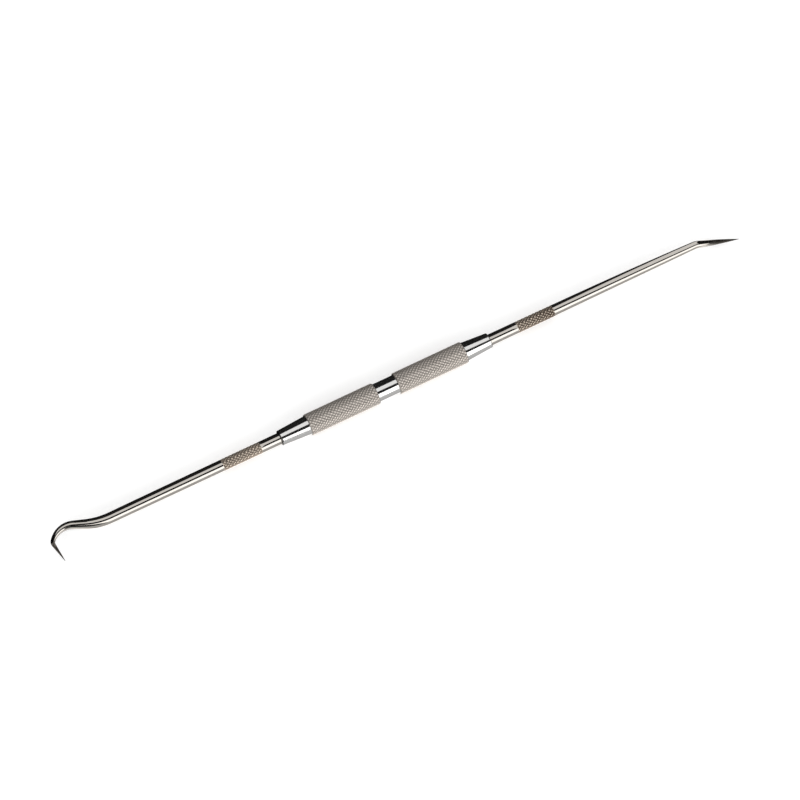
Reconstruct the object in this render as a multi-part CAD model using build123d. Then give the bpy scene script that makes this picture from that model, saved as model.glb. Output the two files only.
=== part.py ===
from build123d import *
import os
from math import asin, ceil, cos, radians, sin, tan

# Double-ended pick. A turned and knurled handle has a tapped socket in each end, and each socket
# holds one hardened steel point by its threaded tail: a hook at one end and a slightly angled
# scribing point at the other. Each point's shank carries a short knurled band, by which it is
# screwed in and out with the fingers.
#
# Frame: millimetres, +X along the handle towards the angled point, +Z up, origin on the axis at
# the middle of the neck. The grips and the tip of the hook touch one level surface underneath.

# Handle, from the neck outwards
neck_length = 6.8
grip_length = 22.8
grip_diameter = 6.85  # over the crests of the knurl
neck_step = 0.5  # the grips stand this much proud of the neck
cone_step = 0.425  # and this much proud of the cones
grip_chamfer = 0.25
hook_cone_length = 9.4
point_cone_length = 8.5
cone_end_round = 0.3

# Shanks of both points, and the finger band on each, measured out from the handle's end
shank_diameter = 3.6  # where it meets the handle
end_face_width = 0.6  # the handle's end shows this much all round the shank
hook_band_gap = 6.5
hook_band_length = 12.7
point_band_gap = 9.2
point_band_length = 12.15
band_edge_groove = 0.06

# Threaded tails and the tapped sockets they screw into, both drawn at the thread's full diameter
shoulder_width = 0.375  # the shank seats on the handle's end with this ring
thread_clearance = 0.05  # between tail and socket, on the radius
thread_height = 0.325
tail_length = 9.5
tail_chamfer = 0.4
relief_length = 0.9  # groove beside the shoulder, where the thread runs out
socket_spare_depth = 1.5  # bored past the end of the tail
socket_mouth_chamfer = 0.1
drill_point_angle = 118

# Hook: the shank leaves the axis away from the tip, rounds a crown, then a tight bend
hook_shank_length = 56.25  # from the handle's end to the first bend
hook_shank_end_diameter = 3.38
hook_rise_angle = 21.4
hook_rise_radius = 22.5
hook_rise_length = 3.7
hook_crown_radius = 6.4
hook_crown_angle = 73.0
hook_bend_radius = 1.2
hook_bend_angle = 51.0
hook_tip_length = 6.15
hook_fullness = 1.74

# Angled point: the shank bows a little as it tapers, then turns into a short needle
point_shank_length = 68.7  # from the handle's end to the bend
point_shank_end_diameter = 2.35
point_bow_angle = 0.7
point_bend_radius = 5.0
point_bend_angle = 16.5
point_needle_length = 12.8
needle_fullness = 1.5

# Both points. A fullness of 1 would be a plain cone; more keeps the steel thick for longer.
plain_taper_share = 0.35  # of a shank's taper is straight, and the rest quickens towards its end
tip_diameter = 0.1

# Spacing of the sections that the bent steel is built through
section_turn = 6.0  # degrees
section_spacing = 2.5

grip_inner_end = neck_length / 2
grip_outer_end = grip_inner_end + grip_length
hook_end = grip_outer_end + hook_cone_length
point_end = grip_outer_end + point_cone_length
neck_diameter = grip_diameter - 2 * neck_step
cone_base_diameter = grip_diameter - 2 * cone_step
cone_end_diameter = shank_diameter + 2 * end_face_width
thread_diameter = shank_diameter - 2 * shoulder_width
relief_diameter = thread_diameter - 2 * thread_height
socket_diameter = thread_diameter + 2 * thread_clearance
socket_depth = tail_length + socket_spare_depth


def turned(outline):
    """Solid of revolution about X from (x, radius) points that begin and end on the axis."""
    return revolve(make_face(Polyline(*outline, close=True)), Axis.X)


def mirrored(part, side):
    """The part as built for +X, or mirrored to -X where side is -1."""
    return part if side > 0 else mirror(part, about=Plane.YZ)


def make_handle_half(end, side):
    """One half of the handle: half the neck, a grip and a cone, with the socket still uncut."""
    neck_radius = neck_diameter / 2
    grip_radius = grip_diameter / 2
    half = turned([
        (0, 0),
        (0, neck_radius),
        (grip_inner_end, neck_radius),
        (grip_inner_end, grip_radius - grip_chamfer),
        (grip_inner_end + grip_chamfer, grip_radius),
        (grip_outer_end - grip_chamfer, grip_radius),
        (grip_outer_end, grip_radius - grip_chamfer),
        (grip_outer_end, cone_base_diameter / 2),
        (end, cone_end_diameter / 2),
        (end, 0),
    ])
    rim = half.edges().filter_by(GeomType.CIRCLE).sort_by(Axis.X)[-1]
    return mirrored(fillet(rim, cone_end_round), side)


def make_socket(end, side):
    """The space that a tapped socket takes out of the handle's end, with its drill point."""
    radius = socket_diameter / 2
    drill_point = radius / tan(radians(drill_point_angle / 2))
    socket = turned([
        (end, 0),
        (end, radius + socket_mouth_chamfer),
        (end - socket_mouth_chamfer, radius),
        (end - socket_depth, radius),
        (end - socket_depth - drill_point, 0),
    ])
    return mirrored(socket, side)


def make_handle():
    """The whole handle: one turned bar."""
    handle = make_handle_half(hook_end, -1) + make_handle_half(point_end, 1)
    return handle - make_socket(hook_end, -1) - make_socket(point_end, 1)


def make_tail(end):
    """Threaded tail of a point that leaves +X, up to the shoulder that seats on the handle."""
    thread_radius = thread_diameter / 2
    return turned([
        (end - tail_length, 0),
        (end - tail_length, thread_radius - tail_chamfer),
        (end - tail_length + tail_chamfer, thread_radius),
        (end - relief_length, thread_radius),
        (end - relief_length, relief_diameter / 2),
        (end, relief_diameter / 2),
        (end, 0),
    ])


def shank_radius(run, length, end_diameter):
    """Radius of a ground shank, some distance from the handle."""
    part = run / length
    drawn_in = plain_taper_share * part + (1 - plain_taper_share) * part ** 3
    return (shank_diameter - (shank_diameter - end_diameter) * drawn_in) / 2


def make_band_edge(x, radius):
    """The shallow ring that marks one edge of a finger band."""
    return revolve(make_face(Polyline(
        (x, radius - band_edge_groove),
        (x + 2 * band_edge_groove, radius + band_edge_groove),
        (x - 2 * band_edge_groove, radius + band_edge_groove),
        close=True,
    )), Axis.X)


def make_straight_shank(end, drawn_length, length, end_diameter, band_gap, band_length):
    """The first stretch of a shank that leaves +X, with its finger band marked off."""
    count = ceil(drawn_length / section_spacing)
    runs = [drawn_length * k / count for k in range(count + 1)]
    shank = turned([
        (end, 0),
        *[(end + run, shank_radius(run, length, end_diameter)) for run in runs],
        (end + drawn_length, 0),
    ])
    for run in (band_gap, band_gap + band_length):
        shank -= make_band_edge(end + run, shank_radius(run, length, end_diameter))
    return shank


def straight(length):
    """A leg of a shank's centreline that doesn't turn."""
    return length, 0


def bend(radius, angle):
    """A leg that turns by an angle in degrees, towards the tip's side where it is positive."""
    return radius * radians(abs(angle)), radians(angle)


def walk(start, legs):
    """Sections along the legs, each as (distance run, x, reach off the axis, heading)."""
    run, x, reach, heading = 0, start, 0, 0
    sections = [(run, x, reach, heading)]
    for length, turn in legs:
        count = ceil(max(length / section_spacing, abs(turn) / radians(section_turn)))
        for _ in range(count):
            step = length / count
            swing = turn / count
            chord = step if turn == 0 else 2 * step / swing * sin(swing / 2)
            x += chord * cos(heading + swing / 2)
            reach += chord * sin(heading + swing / 2)
            heading += swing
            run += step
            sections.append((run, x, reach, heading))
    return sections


def needle_diameter(run, length, start_diameter, fullness):
    """Diameter of a full-bodied needle, some distance from its start."""
    return start_diameter - (start_diameter - tip_diameter) * (run / length) ** fullness


def make_bent_shank(sections, diameters, lean, side):
    """Solid through round sections in the plane that leans down from level towards -Y."""
    across = Vector(0, sin(lean), -cos(lean))
    towards_tip = Vector(0, -cos(lean), -sin(lean))
    rounds = []
    for (_, x, reach, heading), diameter in zip(sections, diameters):
        centre = Vector(side * x, 0, 0) + towards_tip * reach
        ahead = Vector(side * cos(heading), 0, 0) + towards_tip * sin(heading)
        rounds.append(Plane(origin=centre, x_dir=across, z_dir=ahead) * Circle(diameter / 2))
    return loft(rounds, ruled=True)


def hook_sections():
    """The hook's centreline, from the end of its straight shank to the tip."""
    return walk(hook_end + hook_shank_length, [
        bend(hook_rise_radius, -hook_rise_angle),
        straight(hook_rise_length),
        bend(hook_crown_radius, hook_crown_angle),
        bend(hook_bend_radius, hook_bend_angle),
        straight(hook_tip_length),
    ])


def resting_lean():
    """Angle below level of both bends' plane, where the tip of the hook meets the surface."""
    hook_reach = hook_sections()[-1][2]
    return asin((grip_diameter - tip_diameter) / 2 / hook_reach)


def make_hook_point():
    """The hooked point: tail, shank and finger band, then the hook, tapering all the way."""
    sections = hook_sections()
    length = sections[-1][0]
    diameters = [
        needle_diameter(run, length, hook_shank_end_diameter, hook_fullness)
        for run, *_ in sections
    ]
    shank = make_straight_shank(
        hook_end, hook_shank_length, hook_shank_length, hook_shank_end_diameter,
        hook_band_gap, hook_band_length,
    )
    straight_part = mirrored(make_tail(hook_end) + shank, -1)
    return straight_part + make_bent_shank(sections, diameters, resting_lean(), -1)


def make_angled_point():
    """The angled point: tail, shank and finger band, a bowed taper, then a bent needle."""
    drawn_length = point_band_gap + point_band_length + section_spacing
    bowed_length = point_shank_length - drawn_length
    sections = walk(point_end + drawn_length, [
        (bowed_length, radians(point_bow_angle)),
        bend(point_bend_radius, point_bend_angle),
        straight(point_needle_length),
    ])
    needle_length = sections[-1][0] - bowed_length
    diameters = [
        2 * shank_radius(drawn_length + run, point_shank_length, point_shank_end_diameter)
        if run <= bowed_length
        else needle_diameter(
            run - bowed_length, needle_length, point_shank_end_diameter, needle_fullness)
        for run, *_ in sections
    ]
    shank = make_straight_shank(
        point_end, drawn_length, point_shank_length, point_shank_end_diameter,
        point_band_gap, point_band_length,
    )
    straight_part = make_tail(point_end) + shank
    return straight_part + make_bent_shank(sections, diameters, resting_lean(), 1)


os.makedirs("parts", exist_ok=True)
export_step(make_handle(), "parts/handle.step")
export_step(make_hook_point(), "parts/hook_point.step")
export_step(make_angled_point(), "parts/angled_point.step")
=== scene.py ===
from math import asin, atan2, ceil, cos, pi, radians, sin, tan

import bmesh
import bpy
import numpy as np
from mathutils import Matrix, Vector


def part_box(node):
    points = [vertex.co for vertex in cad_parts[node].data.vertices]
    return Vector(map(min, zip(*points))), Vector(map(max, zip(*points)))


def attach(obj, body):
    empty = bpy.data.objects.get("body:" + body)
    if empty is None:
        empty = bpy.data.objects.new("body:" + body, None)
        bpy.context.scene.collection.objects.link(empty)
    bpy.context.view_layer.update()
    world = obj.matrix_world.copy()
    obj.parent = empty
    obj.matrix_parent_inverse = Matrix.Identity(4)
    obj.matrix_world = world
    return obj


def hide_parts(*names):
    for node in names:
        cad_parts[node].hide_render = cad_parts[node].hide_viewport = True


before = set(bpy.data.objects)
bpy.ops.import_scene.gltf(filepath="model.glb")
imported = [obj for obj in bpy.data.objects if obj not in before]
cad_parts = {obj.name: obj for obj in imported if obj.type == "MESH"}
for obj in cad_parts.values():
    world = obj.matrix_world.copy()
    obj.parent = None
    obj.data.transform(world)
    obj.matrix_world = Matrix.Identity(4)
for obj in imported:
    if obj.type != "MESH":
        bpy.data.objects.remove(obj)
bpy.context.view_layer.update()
MM = 0.001

# Handle
# One bar of free-cutting steel, turned in a lathe: a cone, a grip, a plain neck, a grip and a
# cone. The grips are rolled between two knurling wheels, each end is drilled and tapped for a
# point, and the whole bar is then plated with bright nickel.
handle_low, handle_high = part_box("handle")
grip_radius = (handle_high.z - handle_low.z) / 2
neck_radius = 2.925 * MM
neck_half = 3.4 * MM
grip_end = 26.2 * MM
grip_chamfer = 0.25 * MM
cone_base_radius = 3.0 * MM
cone_end_radius = 2.4 * MM
cone_end_round = 0.3 * MM
corner_round = 0.05 * MM
corner_steps = 4
cone_end_steps = 8
corner_margin = 0.12 * MM  # rings this far from a corner keep the long faces evenly curved

knurl_pitch = 1.24 * MM
knurl_depth = 0.155 * MM
knurl_flat = 0.75  # share of the groove's depth at which the diamonds are blunted
knurl_steps = 8  # mesh steps over one pitch, so that grooves and ridges run through vertices
grip_starts = 20

thread_radius = 1.425 * MM
thread_pitch = 0.635 * MM
thread_height = 0.325 * MM
thread_clearance = 0.05 * MM
thread_steepness = 1.25  # flanks this much steeper than a plain V leave flat crests and roots
thread_root = 0.1
thread_steps = 6
tail_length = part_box("hook_point")[1].x - handle_low.x
socket_spare = 1.5 * MM
socket_mouth = 0.1 * MM
drill_point_half_angle = radians(59)
sharp_corner = radians(28)  # faces that meet at more than this keep a crisp edge between them


def zigzag(phase):
    """0 where the phase is whole, rising to 1 halfway between."""
    return 1 - np.abs(2 * (phase % 1) - 1)


def knurl_radii(row, around, crest, depth):
    """Radii of one ring of mesh through a diamond knurl: two crossing sets of grooves."""
    column = np.arange(around)
    right = zigzag((row + column) / knurl_steps)
    left = zigzag((row - column) / knurl_steps)
    height = np.minimum(np.minimum(right, left) / knurl_flat, 1)
    return crest - depth * (1 - height)


def thread_radii(x, angles, extra=0.0):
    """Radii at x of a right-hand screw thread about the X axis."""
    flank = zigzag(x / thread_pitch - angles / (2 * pi)) * thread_steepness
    height = np.clip(flank - thread_root, 0, 1)
    return thread_radius - thread_height * (1 - height) + extra


def rows_between(start, end, pitch, steps):
    """Row numbers and places that cut a stretch into whole mesh steps."""
    count = round(abs(end - start) / pitch * steps)
    return [(row, start + (end - start) * row / count) for row in range(count + 1)]


def rounded(start, corner, end, radius, steps=corner_steps):
    """Points of an arc that rounds a corner between two straight sides of an outline."""
    corner = np.array(corner)
    one = np.array(start) - corner
    two = np.array(end) - corner
    one /= np.linalg.norm(one)
    two /= np.linalg.norm(two)
    half = np.arccos(np.clip(one @ two, -1, 1)) / 2
    centre = corner + (one + two) / np.linalg.norm(one + two) * radius / sin(half)
    first = corner + one * radius / tan(half) - centre
    last = corner + two * radius / tan(half) - centre
    turn = pi - 2 * half
    return [
        tuple(centre + (first * sin(turn * (1 - k / steps)) + last * sin(turn * k / steps)) / sin(turn))
        for k in range(steps + 1)
    ]


def skin(name, rings, tips, split_rows=()):
    """A closed mesh through rings of points, with a tip at each end.

    Rows in split_rows hold a knurl: their squares are cut along its grooves and ridges.
    """
    around = len(rings[0])
    points = np.vstack([*rings, tips])
    split = {index: row for index, row in split_rows}
    faces = []
    for index in range(len(rings) - 1):
        low, high = index * around, (index + 1) * around
        row = split.get(index)
        for j in range(around):
            k = (j + 1) % around
            if row is None:
                faces.append((low + j, low + k, high + k, high + j))
                continue
            falling = (row - j) % knurl_steps
            rising = (row + j + 1) % knurl_steps
            ridge = knurl_steps * knurl_flat / 2
            if falling == 0 or (falling in (ridge, knurl_steps - ridge) and rising != 0):
                faces += [(low + j, high + k, high + j), (low + j, low + k, high + k)]
            else:
                faces += [(low + j, low + k, high + j), (low + k, high + k, high + j)]
    last = (len(rings) - 1) * around
    for j in range(around):
        k = (j + 1) % around
        faces.append((len(points) - 2, k, j))
        faces.append((len(points) - 1, last + j, last + k))
    mesh = bpy.data.meshes.new(name)
    mesh.from_pydata(points.tolist(), [], faces)
    shaper = bmesh.new()
    shaper.from_mesh(mesh)
    bmesh.ops.recalc_face_normals(shaper, faces=shaper.faces)
    shaper.to_mesh(mesh)
    shaper.free()
    mesh.shade_smooth()
    mesh.set_sharp_from_angle(angle=sharp_corner)
    piece = bpy.data.objects.new(name, mesh)
    bpy.context.scene.collection.objects.link(piece)
    return piece


def handle_half(end):
    """(x, radii, knurl row or None) of one half, from the neck to the bottom of the socket."""
    around = grip_starts * knurl_steps
    angles = np.arange(around) * 2 * pi / around
    out = 1 if end > 0 else -1
    reach = abs(end)
    body = grip_radius - knurl_depth
    profile = [(0.0, neck_radius), (neck_half - corner_margin, neck_radius)]
    profile += rounded((0, neck_radius), (neck_half, neck_radius), (neck_half, body), corner_round)
    rings = [(x, np.full(around, r), None) for x, r in profile]
    for row, x in rows_between(neck_half, grip_end, knurl_pitch, knurl_steps):
        edge = min(x - neck_half, grip_end - x)
        rim = grip_radius - grip_chamfer + edge
        rings.append((x, np.minimum(knurl_radii(row, around, grip_radius, knurl_depth), rim), row))
    profile = rounded((grip_end, body), (grip_end, cone_base_radius), (reach, cone_end_radius),
                      corner_round)
    fall = (cone_base_radius - cone_end_radius) / (reach - grip_end)
    for x in (grip_end + corner_margin, reach - cone_end_round - corner_margin):
        profile.append((x, cone_base_radius - fall * (x - grip_end)))
    profile += rounded((grip_end, cone_base_radius), (reach, cone_end_radius), (reach, 0),
                       cone_end_round, cone_end_steps)
    mouth = thread_radius + thread_clearance
    profile += [(reach, mouth + socket_mouth), (reach - socket_mouth, mouth)]
    rings += [(x, np.full(around, r), None) for x, r in profile]
    bottom = reach - tail_length - socket_spare
    for _, x in rows_between(reach - 2 * socket_mouth, bottom, thread_pitch, thread_steps):
        rings.append((x, thread_radii(out * x, angles, thread_clearance), None))
    rings.append((bottom, np.full(around, mouth), None))
    tip = bottom - mouth / tan(drill_point_half_angle)
    turned = [
        (np.stack([np.full(around, out * x), radii * np.cos(angles), radii * np.sin(angles)], 1), row)
        for x, radii, row in rings
    ]
    return turned, (out * tip, 0, 0)


hook_half, hook_socket_tip = handle_half(handle_low.x)
point_half, point_socket_tip = handle_half(handle_high.x)
turned = hook_half[::-1] + point_half[1:]
split = []
for index in range(len(turned) - 1):
    here, beyond = turned[index][1], turned[index + 1][1]
    if here is not None and beyond is not None:
        split.append((index, here if beyond > here else -here))
handle = skin("handle_plated", [points for points, _ in turned],
              [hook_socket_tip, point_socket_tip], split)


class Wire:
    """A shader socket. Python's arithmetic on it adds Math nodes to its tree."""

    def __init__(self, tree, socket=None):
        self.tree = tree
        self.socket = socket

    def node(self, kind, settings=None, inputs=None, output=0):
        """A new node of a type, its settings first, then values or links of its sockets."""
        made = self.tree.nodes.new("ShaderNode" + kind)
        for name, value in (settings or {}).items():
            setattr(made, name, value)
        for name, value in (inputs or {}).items():
            if isinstance(value, Wire):
                self.tree.links.new(value.socket, made.inputs[name])
            else:
                made.inputs[name].default_value = value
        return Wire(self.tree, made.outputs[output] if made.outputs else None)

    def maths(self, operation, *values):
        """A Math node on values that are wires or plain numbers."""
        return self.node("Math", {"operation": operation}, dict(enumerate(values)))

    def __add__(self, other):
        return self.maths("ADD", self, other)

    def __radd__(self, other):
        return self.maths("ADD", other, self)

    def __sub__(self, other):
        return self.maths("SUBTRACT", self, other)

    def __rsub__(self, other):
        return self.maths("SUBTRACT", other, self)

    def __mul__(self, other):
        return self.maths("MULTIPLY", self, other)

    def __rmul__(self, other):
        return self.maths("MULTIPLY", other, self)

    def __pow__(self, other):
        return self.maths("POWER", self, other)

    def band(self, low, high):
        """0 below low, 1 above high, and a smooth rise between."""
        return self.node("MapRange", {"interpolation_type": "SMOOTHSTEP"},
                         {"Value": self, "From Min": low, "From Max": high})

    def blend(self, one, two):
        """Colour one where this is 0, colour two where it is 1."""
        return self.node("Mix", {"data_type": "RGBA"}, {0: self, 6: one, 7: two}, 2)


def new_material(name):
    """An empty material, and a wire to add its nodes with."""
    material = bpy.data.materials.new(name)
    material.use_nodes = True
    material.node_tree.nodes.clear()
    return material, Wire(material.node_tree)


def place(tree):
    """Wires for the point on the piece and for its X, Y and Z, in metres."""
    point = tree.node("TexCoord", output=3)
    split = point.node("SeparateXYZ", inputs={0: point}).socket.node
    return point, *(Wire(tree.tree, split.outputs[k]) for k in range(3))


def noise(point, scale, detail=3.0, stretch=(1, 1, 1)):
    """Noise with its grain given in cycles a millimetre, stretched along the axes."""
    grain = [scale * part / MM for part in stretch]
    moved = point.node("Mapping", inputs={"Vector": point, "Scale": grain})
    return moved.node("TexNoise", inputs={"Vector": moved, "Scale": 1.0, "Detail": detail})


def finish_metal(tree, colour, roughness, metallic, bump, bump_distance):
    """The metal's shader from what varies over it."""
    normal = tree.node("Bump", inputs={"Strength": 1.0, "Distance": bump_distance, "Height": bump})
    metal = tree.node("BsdfPrincipled", inputs={
        "Base Color": colour, "Metallic": metallic, "Roughness": roughness, "Normal": normal,
    })
    tree.node("OutputMaterial", inputs={"Surface": metal})


def nickel_plate():
    """Bright nickel with fine turning marks; the knurl is duller, with painted shade in its grooves.

    A thin dark ring round each cone's rounded end is a painted shadow line where a point's shoulder
    meets it.
    """
    material, tree = new_material("bright_nickel")
    point, x, y, z = place(tree)
    radius = (y * y + z * z) ** 0.5
    knurled = radius.band(cone_base_radius + 0.02 * MM, cone_base_radius + 0.1 * MM)
    height = radius.band(grip_radius - knurl_depth, grip_radius - 0.2 * knurl_depth)
    clouds = noise(point, 0.35)
    turning = noise(point, 9.0, 4.0, (1, 0.02, 0.02))
    smudges = noise(point, 0.9, 5.0)
    plain = clouds.blend((0.91, 0.90, 0.885, 1), (0.95, 0.94, 0.93, 1))
    # The knurl's grooves are painted dark as painted shade; its crests keep a warm tint.
    knurl_groove_shade_and_tint = height.blend((0.40, 0.36, 0.32, 1), (0.97, 0.89, 0.82, 1))
    reach = x.maths("ABSOLUTE", x)
    point_side = x.maths("GREATER_THAN", x, 0)
    end = point_side * handle_high.x + (1 - point_side) * abs(handle_low.x)
    # Painted shadow line: a thin ring at each cone's rounded end is painted dark.
    painted_shadow_ring = (reach - end).band(-1.1 * cone_end_round, -0.3 * cone_end_round)
    colour = painted_shadow_ring.blend(knurled.blend(plain, knurl_groove_shade_and_tint), (0.16, 0.15, 0.14, 1))
    roughness = 0.06 + 0.06 * turning + 0.05 * smudges + knurled * (0.27 - 0.07 * height)
    metallic = 1 - 0.25 * knurled
    bump = turning * 0.6 + smudges * 0.4
    finish_metal(tree, colour, roughness, metallic, bump, 0.002 * MM)
    return material


handle.data.materials.append(nickel_plate())
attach(handle, "handle")
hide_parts("handle")

# Hook point
# A rod of hardened and polished tool steel. Its tail is threaded to screw into the handle, a
# short knurled band gives the fingers a hold for turning it, and the far end is drawn down to a
# needle and bent hot into a hook.
shank_radius = 1.8 * MM  # where it leaves the handle
plain_taper_share = 0.35  # of a shank's taper is straight, and the rest quickens towards its end
hook_band_gap = 6.5 * MM
hook_band_length = 12.7 * MM
band_pitch = 1.2 * MM
band_starts = 11
band_edge = 0.12 * MM
band_depth = 0.17 * MM
band_rise = 0.04 * MM  # the rolling raises the crests a little above the shank
shoulder_round = 0.08 * MM
relief_radius = 1.1 * MM
relief_length = 0.9 * MM
run_out_slope = 2.0  # how fast the thread fades into the relief groove
tail_chamfer = 0.4 * MM
end_margin = 0.02 * MM  # keeps a ring of mesh off the edge beside it
gap_rings = 6
shank_rings = 12
hook_shank_length = 56.25 * MM
hook_shank_end = 1.69 * MM
hook_legs = [
    (22.5 * MM * radians(21.4), -radians(21.4)),
    (3.7 * MM, 0),
    (6.4 * MM * radians(73.0), radians(73.0)),
    (1.2 * MM * radians(51.0), radians(51.0)),
    (6.15 * MM, 0),
]
hook_fullness = 1.74  # a fullness of 1 would be a plain cone
tip_radius = 0.05 * MM
leg_spacing = 0.3 * MM
leg_turn = radians(2.5)
hook_dark_start = 109.4 * MM
hook_dark_end = 110.9 * MM
dark_lean = 0.35  # share of the reach towards the tip that counts in where the painted needle shade sets in


def walk(start, legs):
    """Sections along straight and bent legs, each as (distance run, x, reach, heading)."""
    run, x, reach, heading = 0.0, start, 0.0, 0.0
    sections = [(run, x, reach, heading)]
    for length, turn in legs:
        count = ceil(max(length / leg_spacing, abs(turn) / leg_turn))
        step, swing = length / count, turn / count
        chord = step if turn == 0 else 2 * step / swing * sin(swing / 2)
        for _ in range(count):
            x += chord * cos(heading + swing / 2)
            reach += chord * sin(heading + swing / 2)
            heading += swing
            run += step
            sections.append((run, x, reach, heading))
    return sections


def ground_radius(run, length, end_radius):
    """Radius of a ground shank, some distance from the handle."""
    part = run / length
    drawn_in = plain_taper_share * part + (1 - plain_taper_share) * part ** 3
    return shank_radius - (shank_radius - end_radius) * drawn_in


def needle_radius(run, length, start_radius, fullness):
    """Radius of a full-bodied needle, some distance from its start."""
    return start_radius - (start_radius - tip_radius) * (run / length) ** fullness


def point_piece(name, end, gap, band_length, drawn, shank_length, shank_end, bent, lean):
    """Mesh of a screw-in point: its tail, its ground shank with the finger band, its bent end.

    The shank is straight for the length drawn. After that, bent holds its rings, each as
    (x, reach, heading, radius). Both bends lie in the plane through the axis at the angle lean.
    """
    around = band_starts * knurl_steps
    angles = np.arange(around) * 2 * pi / around
    out = 1 if end > 0 else -1
    shoulder = abs(end)
    across = np.array([0, sin(lean), -cos(lean)])
    towards_tip = np.array([0, -cos(lean), -sin(lean)])
    tail_end = shoulder - tail_length
    thread_start = atan2(across[2], across[1])
    turning = 1 if np.cross(across, towards_tip)[0] > 0 else -1
    rings = []
    for _, x in rows_between(tail_end, shoulder - relief_length, thread_pitch, knurl_steps):
        rim = thread_radius - tail_chamfer + (x - tail_end)
        run_out = relief_radius + (shoulder - relief_length - x) * run_out_slope
        radii = np.minimum(thread_radii(out * x, thread_start + turning * angles), rim)
        rings.append((x, 0, 0, np.minimum(radii, np.maximum(run_out, relief_radius)), None))
    band_start = shoulder + gap
    band_end = band_start + band_length

    def ground(x):
        return ground_radius(x - shoulder, shank_length, shank_end)

    plain = [(shoulder - relief_length, relief_radius), (shoulder - end_margin, relief_radius)]
    plain += rounded((shoulder, relief_radius), (shoulder, shank_radius),
                     (band_start, shank_radius), shoulder_round)
    before = np.linspace(shoulder + 2 * shoulder_round, band_start, gap_rings)
    plain += [(x, ground(x)) for x in before]
    rings += [(x, 0, 0, np.full(around, r), None) for x, r in plain]
    for row, x in rows_between(band_start, band_end, band_pitch, knurl_steps):
        fade = min(1, (x - band_start) / band_edge, (band_end - x) / band_edge)
        crest = ground(x) + band_rise * fade
        radii = knurl_radii(row, around, crest, band_depth * fade)
        rings.append((x, 0, 0, radii, row))
    after = np.linspace(band_end + end_margin, shoulder + drawn, shank_rings)[:-1]
    rings += [(x, 0, 0, np.full(around, ground(x)), None) for x in after]
    rings += [(x, w, heading, np.full(around, r), None) for x, w, heading, r in bent]
    skins, split = [], []
    for index, (x, w, heading, radii, row) in enumerate(rings):
        centre = np.array([out * x, 0, 0]) + towards_tip * w
        side = towards_tip * cos(heading) - np.array([out * sin(heading), 0, 0])
        skins.append(centre + np.outer(radii * np.cos(angles), across)
                     + np.outer(radii * np.sin(angles), side))
        if row is not None and rings[index + 1][4] is not None:
            split.append((index, row))
    first = (out * (tail_end - end_margin), 0, 0)
    last = skins[-1].mean(0)
    return skin(name, skins, [first, last], split)


hook_path = walk(abs(handle_low.x) + hook_shank_length, hook_legs)
hook_run = hook_path[-1][0]
lean = asin((grip_radius - tip_radius) / hook_path[-1][2])
hook_bent = [
    (x, w, heading, needle_radius(run, hook_run, hook_shank_end, hook_fullness))
    for run, x, w, heading in hook_path
]
hook = point_piece("hook_point_steel", handle_low.x, hook_band_gap, hook_band_length,
                   hook_shank_length, hook_shank_length, hook_shank_end, hook_bent, lean)


def hardened_steel(name, band_start, band_end, dark_start, dark_end):
    """Polished tool steel with a warm cast; brown and dull where the finger band is knurled, with
    painted shade in its grooves.

    The needle is painted dark as painted shade. This painted shade sets in between dark_start and
    dark_end, which are distances along the handle's line with part of the reach towards the tip added.
    """
    material, tree = new_material(name)
    point, x, y, z = place(tree)
    radius = (y * y + z * z) ** 0.5
    reach = x.maths("ABSOLUTE", x)
    edge = 0.15 * MM
    band = reach.band(band_start - edge, band_start + edge) * (
        1 - reach.band(band_end - edge, band_end + edge))
    height = radius.band(shank_radius - band_depth, shank_radius)
    clouds = noise(point, 0.3)
    polish = noise(point, 6.0, 4.0, (0.05, 1, 1))
    smudges = noise(point, 1.1, 5.0)
    plain = clouds.blend((0.66, 0.62, 0.57, 1), (0.74, 0.70, 0.65, 1))
    # The band's grooves are painted dark as painted shade; its brown tint is the steel's own.
    brown_band_with_groove_shade = height.blend((0.15, 0.11, 0.08, 1), (0.84, 0.72, 0.60, 1))
    # Painted shade: the needle is painted dark, setting in sooner where the steel bends towards its
    # tip.
    tipward = 0 - (y * cos(lean) + z * sin(lean))
    drawn = reach + dark_lean * tipward.maths("MAXIMUM", tipward, 0)
    painted_needle_shade = drawn.band(dark_start, dark_end)
    colour = painted_needle_shade.blend(band.blend(plain, brown_band_with_groove_shade), (0.09, 0.08, 0.07, 1))
    roughness = 0.03 + 0.03 * polish + 0.04 * smudges + band * 0.2 + painted_needle_shade * 0.1
    metallic = 1 - 0.25 * band
    bump = polish * 0.5 + smudges * 0.5
    finish_metal(tree, colour, roughness, metallic, bump, 0.0015 * MM)
    return material


hook_band_start = abs(handle_low.x) + hook_band_gap
hook.data.materials.append(
    hardened_steel("hook_tool_steel", hook_band_start, hook_band_start + hook_band_length,
                   hook_dark_start, hook_dark_end))
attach(hook, "hook_point")
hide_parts("hook_point")

# Angled point
# A second rod of the same steel with the same tail and finger band. It is ground to a slow
# taper, then to a needle that is bent a little to one side.
point_band_gap = 9.2 * MM
point_band_length = 12.15 * MM
point_shank_length = 68.7 * MM
point_shank_end = 1.175 * MM
point_fullness = 1.5
straight_margin = 2.5 * MM
point_dark_start = 105.0 * MM
point_dark_end = 111.5 * MM
point_straight = point_band_gap + point_band_length + straight_margin
bowed_length = point_shank_length - point_straight
point_legs = [
    (bowed_length, radians(0.7)),
    (5.0 * MM * radians(16.5), radians(16.5)),
    (12.8 * MM, 0),
]
point_path = walk(handle_high.x + point_straight, point_legs)
needle_length = point_path[-1][0] - bowed_length
point_bent = [
    (x, w, heading,
     ground_radius(point_straight + run, point_shank_length, point_shank_end)
     if run <= bowed_length
     else needle_radius(run - bowed_length, needle_length, point_shank_end, point_fullness))
    for run, x, w, heading in point_path
]
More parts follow.
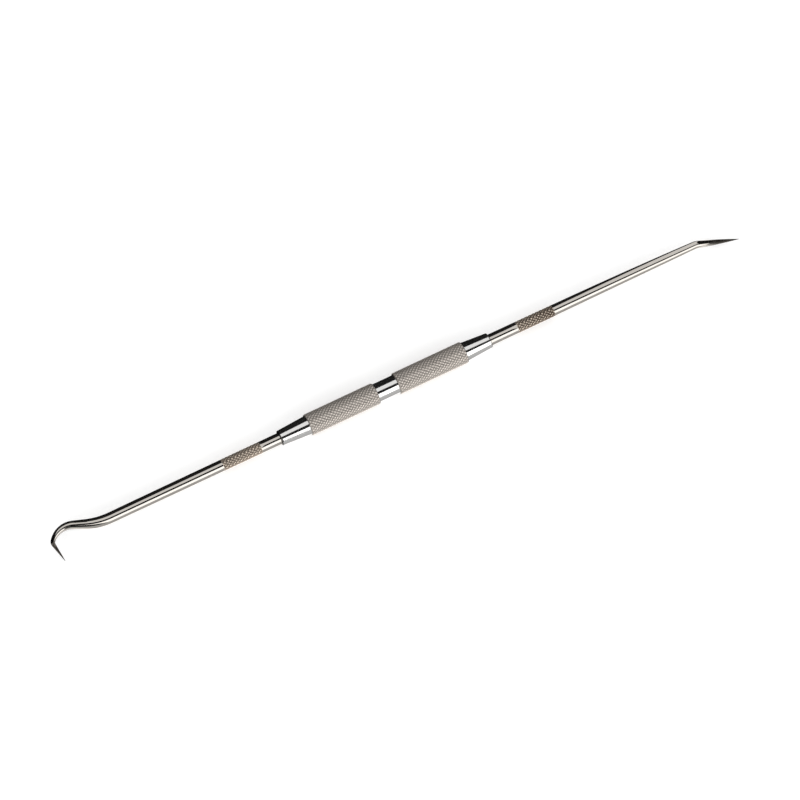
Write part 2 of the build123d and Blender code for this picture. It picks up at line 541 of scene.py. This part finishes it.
angled = point_piece("angled_point_steel", handle_high.x, point_band_gap, point_band_length,
                     point_straight, point_shank_length, point_shank_end, point_bent, lean)
point_band_start = handle_high.x + point_band_gap
angled.data.materials.append(
    hardened_steel("point_tool_steel", point_band_start, point_band_start + point_band_length,
                   point_dark_start, point_dark_end))
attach(angled, "angled_point")
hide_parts("angled_point")

# Bench, light and camera
# A plain pale bench top under the grips, a pale room and three soft lamps on the near side. Black
# and grey cards, which only the polished steel sees, give it its dark edges and lines.
bench_gap = 0.02 * MM
bench_height = handle_low.z - bench_gap
bench_half = 20.0
bench_shade = 0.93
bench_glow = 0.25


def flat_piece(name, corners):
    """Flat sheets of the studio in one piece, each between four corners."""
    mesh = bpy.data.meshes.new(name)
    mesh.from_pydata(corners, [], [tuple(range(k, k + 4)) for k in range(0, len(corners), 4)])
    piece = bpy.data.objects.new(name, mesh)
    bpy.context.scene.collection.objects.link(piece)
    return piece


material, tree = new_material("pale_bench")
path = tree.node("LightPath")
seen = [Wire(path.tree, path.socket.node.outputs[name])
        for name in ("Is Camera Ray", "Is Glossy Ray", "Is Transmission Ray")]
paper = tree.node("BsdfDiffuse", inputs={"Color": (bench_shade, bench_shade, bench_shade, 1)})
glow = tree.node("Emission", inputs={"Strength": (seen[0] + seen[1] + seen[2]) * bench_glow})
both = tree.node("AddShader", inputs={0: paper, 1: glow})
tree.node("OutputMaterial", inputs={"Surface": both})
bench = flat_piece("bench", [(x, y, bench_height) for x, y in (
    (-bench_half, -bench_half), (bench_half, -bench_half),
    (bench_half, bench_half), (-bench_half, bench_half))])
bench.data.materials.append(material)

room_strength = 0.8
world = bpy.data.worlds.new("pale_room")
bpy.context.scene.world = world
world.use_nodes = True
world.node_tree.nodes["Background"].inputs["Color"].default_value = (1, 1, 1, 1)
world.node_tree.nodes["Background"].inputs["Strength"].default_value = room_strength


black = 0.012
mid_grey = 0.5
card_half = 3.0
card_lift = 0.1 * MM  # above the bench
card_top = 6.5
far_distance = 0.12
near_distance = 2.9
grey_distance = 2.85
foot_distance = 0.001  # where the cards on the bench end, close under the steel
far_edge = 118  # degrees; between it and near_edge the room lights the steel from above
near_edge = 76
lamp_edge = 48


def unseen(piece, shade):
    """Finishes a card that only polished steel sees."""
    piece.visible_camera = False
    piece.visible_diffuse = False
    piece.visible_shadow = False
    material, tree = new_material(piece.name)
    tree.node("OutputMaterial", inputs={"Surface": tree.node("BsdfDiffuse", inputs={
        "Color": (shade, shade, shade, 1)})})
    piece.data.materials.append(material)


def card(name, shade, outline):
    """A card along the handle, folded through points of its cross section.

    Each point is an angle round the handle in degrees, from level on the near side over the top,
    then a distance, then the card's left and right ends there.
    """
    folds = []
    for angle, distance, left, right in outline:
        y = -distance * cos(radians(angle))
        z = max(distance * sin(radians(angle)), bench_height + card_lift)
        folds.append(((left, y, z), (right, y, z)))
    corners = []
    for (left, right), (next_left, next_right) in zip(folds, folds[1:]):
        corners += [left, right, next_right, next_left]
    unseen(flat_piece(name, corners), shade)


def soft_lamp(name, place, width, height, energy):
    """A soft square lamp that faces the handle from a place."""
    lamp = bpy.data.lights.new(name, "AREA")
    lamp.shape = "RECTANGLE"
    lamp.size = width
    lamp.size_y = height
    lamp.energy = energy
    stand = bpy.data.objects.new(name, lamp)
    stand.location = place
    stand.rotation_euler = Vector(place).to_track_quat("Z", "Y").to_euler()
    bpy.context.scene.collection.objects.link(stand)


# Beyond the steel, two cards with a slanted gap between them: the gap puts a thin light line
# along the angled point's shank.
card("far_card", black, [
    (far_edge, far_distance, -card_half, 0.075),
    (180, far_distance, -card_half, 0.14)])
card("far_end_card", black, [
    (far_edge, far_distance, 0.16, card_half),
    (180, far_distance, 0.17, card_half)])
card("behind_card", black, [
    (180, far_distance, -card_half, card_half),
    (180, foot_distance, -card_half, card_half)])
card("near_card", black, [
    (near_edge, near_distance, -card_half, card_half),
    (lamp_edge, near_distance, -card_half, card_half),
    (0, near_distance, -card_half, card_half)])
card("grey_card", mid_grey, [
    (0, grey_distance, -card_half, card_half),
    (0, foot_distance, -card_half, card_half)])
for name, x in (("left_card", -2.9), ("right_card", 3.2)):
    unseen(flat_piece(name, [
        (x, -card_half, bench_height), (x, card_half, bench_height),
        (x, card_half, card_top), (x, -card_half, card_top)]), black)

soft_lamp("near_lamp", place=(0.815, -2.18, 1.01), width=1.57, height=2.04, energy=15.7)
soft_lamp("left_lamp", place=(-2.2, -1.7, 1.1), width=1.8, height=1.4, energy=15.5)
soft_lamp("right_lamp", place=(2.6, -1.7, 1.1), width=1.8, height=1.4, energy=15.5)

view_azimuth = radians(-27.23)
view_elevation = radians(65.5)
view_distance = 6.0
framed_width = 0.23854
aim_right = 4.19 * MM
aim_down = 3.35 * MM
sensor = 36.0
back = Vector((sin(view_azimuth) * cos(view_elevation), -cos(view_azimuth) * cos(view_elevation),
               sin(view_elevation)))
right = Vector((cos(view_azimuth), sin(view_azimuth), 0))
up = back.cross(right)
aim = right * aim_right - up * aim_down
camera_data = bpy.data.cameras.new("camera")
camera_data.sensor_width = sensor
camera_data.lens = sensor * view_distance / framed_width
camera_data.clip_end = 100
camera = bpy.data.objects.new("camera", camera_data)
camera.location = aim + back * view_distance
camera.rotation_euler = back.to_track_quat("Z", "Y").to_euler()
bpy.context.scene.collection.objects.link(camera)
bpy.context.scene.camera = camera
bpy.context.scene.view_settings.view_transform = "Standard"
